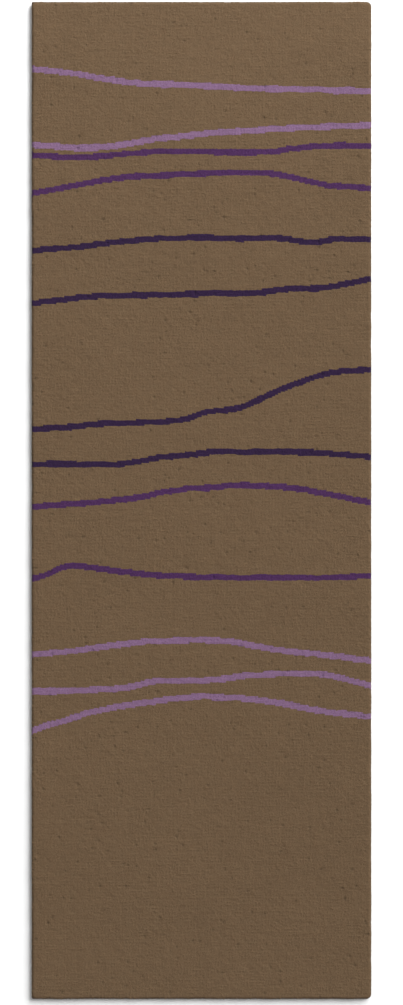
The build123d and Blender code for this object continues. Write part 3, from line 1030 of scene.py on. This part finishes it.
def stitches(name, centres, angles, stitch, top):
    """Stitches lying along their angles under a surface at height top, ends turned up into it."""
    length, width, depth = stitch
    rng = np.random.default_rng([SEED, len(centres)])
    stations = np.array([-0.5, -0.46, -0.34, -0.12, 0.12, 0.34, 0.46, 0.5])
    girth = np.array([0.45, 0.8, 1.0, 1.0, 1.0, 1.0, 0.8, 0.45])
    sunk = np.array([0.55, 0.34, 0.08, 0.0, 0.0, 0.08, 0.34, 0.55]) * MM
    ring = 8  # vertices round a stitch
    size = len(stations) * ring
    turn = np.arange(ring) * 2 * math.pi / ring
    along = np.repeat(stations * length, ring)
    across = (girth[:, None] * np.cos(turn) * width / 2).ravel()
    rise = (girth[:, None] * np.sin(turn) * depth / 2 + sunk[:, None]).ravel()

    angles = angles + rng.normal(scale=0.05, size=len(angles))
    scale = 1 + 0.06 * rng.normal(size=(len(angles), 1)).clip(-2, 2)
    cos, sin = np.cos(angles)[:, None], np.sin(angles)[:, None]
    x = centres[:, :1] + cos * along * scale - sin * across
    y = centres[:, 1:] + sin * along * scale + cos * across
    z = np.broadcast_to(top + rise, x.shape)
    points = np.stack([x, y, z], -1).reshape(-1, 3)

    body = ring_faces(np.arange(size).reshape(-1, ring))
    caps = np.array([np.arange(ring - 1, -1, -1), np.arange(size - ring, size)])[:, ::-1]
    start = (np.arange(len(centres)) * size)[:, None, None]
    faces = [(body + start).reshape(-1, 4), (caps + start).reshape(-1, ring)]

    # Each stitch has a cell of its own in the map.
    grid = math.ceil(math.sqrt(len(centres)))
    corner = np.stack([np.arange(len(centres)) % grid, np.arange(len(centres)) // grid], -1)
    corner = corner[:, None, None, :]
    station, around = (n[:, None] for n in np.divmod(np.arange(len(body)), ring))
    local = np.stack([(station + [0, 1, 1, 0]) / 7.2, (around + [0, 0, 1, 1]) / 8.2], -1)
    cap = np.stack([0.5 + 0.4 * np.cos(turn), 0.5 + 0.4 * np.sin(turn)], -1) * 0.02 + 0.975
    caps_uv = corner + np.tile(cap, (2, 1)).reshape(1, 2, ring, 2)
    uvs = np.concatenate([(corner + local).reshape(-1, 2), caps_uv.reshape(-1, 2)]) / grid
    obj = mesh_object(name, points, faces, True, uvs)
    finish_piece(obj, THREAD, SEAM_NODES[name])


def build_tape_stitches(side):
    """Two rows of stitches along a tape."""
    middle, along, inward, half = side_frame(side)
    centres = []
    for seam in SEAM_INSETS:
        reach = half - seam - 1.5 * MM
        count = int(reach // STITCH_PITCH)
        run = np.arange(-count, count + 1)[:, None] * STITCH_PITCH
        run = run[abs(run[:, 0]) < reach - STITCH[0] / 2]
        centres.append(middle + run * along + inward * seam)
    centres = np.concatenate(centres)
    angle = math.atan2(along[1], along[0])
    lowest = 0.03 * MM + STITCH[2] / 2
    stitches(f"stitches_{side}", centres, np.full(len(centres), angle), STITCH, lowest)


def build_label():
    """Blank satin tag, sewn on all round, a little bowed between its seams."""
    low_corner, high_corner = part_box("care_label")
    size = high_corner - low_corner
    x, y = box_grid(low_corner, high_corner, 40, 62)
    across, along = (x - low_corner.x) / size.x, (y - low_corner.y) / size.y
    seam_low, seam_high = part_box("label_seam")
    line = (seam_low.x + LABEL_SEAM) - low_corner.x  # from the label's edge to its seam
    to_edge = to_box_edge(x, y, low_corner, high_corner)
    bow = np.clip((to_edge - line) / (9 * MM), 0, 1)
    z = low_corner.z - 0.20 * MM * bow**0.8
    z -= 0.035 * MM * np.sin(along * 9.0 + across * 4.0) * bow
    z += 0.10 * MM * np.exp(-(((to_edge - line) / (0.7 * MM)) ** 2))  # drawn in at the seam
    z -= 0.07 * MM * np.clip(1 - to_edge / (1.5 * MM), 0, 1) * (0.6 + 0.4 * np.sin(along * 14))
    obj = slab("satin_label", x, y, z, z + 0.3 * MM)
    finish_piece(obj, SATIN, "care_label")

    centre = np.array([(low_corner.x + high_corner.x) / 2, (low_corner.y + high_corner.y) / 2])
    reach = np.array([seam_high.x - seam_low.x, seam_high.y - seam_low.y]) / 2 - LABEL_SEAM
    centres, angles = [], []
    for out in SIDES.values():
        out = np.array(out, float)
        direction = np.array([-out[1], out[0]])
        half = abs(direction) @ reach
        count = round(2 * half / LABEL_STITCH_PITCH)
        run = (np.arange(count)[:, None] + 0.5) * 2 * half / count - half
        centres.append(centre + out * reach + run * direction)
        angles.append(np.full(count, math.atan2(direction[1], direction[0])))
    centres, angles = np.concatenate(centres), np.concatenate(angles)
    stitches("label_stitches", centres, angles, LABEL_STITCH, low_corner.z - 0.02 * MM)


build_tufting_cloth()
build_inner_layers()
build_backing()
for side in SIDES:
    build_tape(side)
    build_tape_stitches(side)
build_label()

# ---- stage, light and camera ----

LENS = 110.0
SENSOR = 36.0
RUG_SHARE = 0.9926  # of the picture's height that the rug's length takes
CAMERA_Y = -5 * MM  # the rug is a little above the middle of the picture
FLOOR_SIZE = 160

SKY_OVERHEAD = 0.33
SKY_HORIZON = 1.05  # near white, so that low views have a plain backdrop
KEY_LIGHT = 4.1
KEY_SPREAD = math.radians(50)
KEY_FROM = Vector((1.0, 1.0, 1.0))
FILL_POWER = 150  # past the far end, which is the brighter one
FILL_AT = Vector((1.4, 3.9, 2.0))
FILL_AIM = Vector((-2.1, 3.1, 0.0))  # beyond the rug, which keeps the light even across it
FILL_SIZE = 2.2


def build_stage():
    """Plain paper, pale and dull."""
    bpy.ops.mesh.primitive_grid_add(x_subdivisions=8, y_subdivisions=8, size=FLOOR_SIZE)
    floor = bpy.context.object
    floor.name = "studio_floor"
    material, tree, shader, place = new_material("studio_paper", 0.9, specular=0.1)
    colour = mix(tree, noise(tree, place, 40, 3.0), (0.90, 0.90, 0.90), (0.92, 0.92, 0.92))
    tree.links.new(colour, shader.inputs["Base Color"])
    floor.data.materials.append(material)


def build_sky():
    """White all round, brighter low down."""
    world = bpy.data.worlds.new("studio")
    bpy.context.scene.world = world
    world.use_nodes = True
    tree = world.node_tree
    background = tree.nodes["Background"]
    background.inputs["Color"].default_value = (1, 1, 1, 1)
    height = axes(tree, node(tree, "ShaderNodeTexCoord").outputs["Generated"])[2]
    strength = spread(tree, height, SKY_HORIZON, SKY_OVERHEAD, 0.10, 0.42)
    tree.links.new(strength, background.inputs["Strength"])


def add_light(name, kind, energy, place, direction):
    """A light at a place that shines in a direction."""
    light = bpy.data.lights.new(name, kind)
    light.energy = energy
    lamp = bpy.data.objects.new(name, light)
    lamp.location = place
    lamp.rotation_euler = direction.to_track_quat("-Z", "Y").to_euler()
    bpy.context.scene.collection.objects.link(lamp)
    return light


def build_camera():
    """Straight above, at a distance that gives the rug its share of the picture."""
    camera = bpy.data.cameras.new("camera")
    camera.lens = LENS
    camera.sensor_width = SENSOR
    camera_object = bpy.data.objects.new("camera", camera)
    distance = RUG_LENGTH / RUG_SHARE * LENS / SENSOR
    camera_object.location = (0.0, CAMERA_Y, PILE_TIP + distance)
    camera.clip_end = 100
    bpy.context.scene.collection.objects.link(camera_object)
    bpy.context.scene.camera = camera_object


build_stage()
build_sky()
add_light("key", "SUN", KEY_LIGHT, (0, 0, 0), -KEY_FROM).angle = KEY_SPREAD
add_light("far_end", "AREA", FILL_POWER, FILL_AT, FILL_AIM - FILL_AT).size = FILL_SIZE
build_camera()
bpy.context.scene.view_settings.view_transform = "Standard"
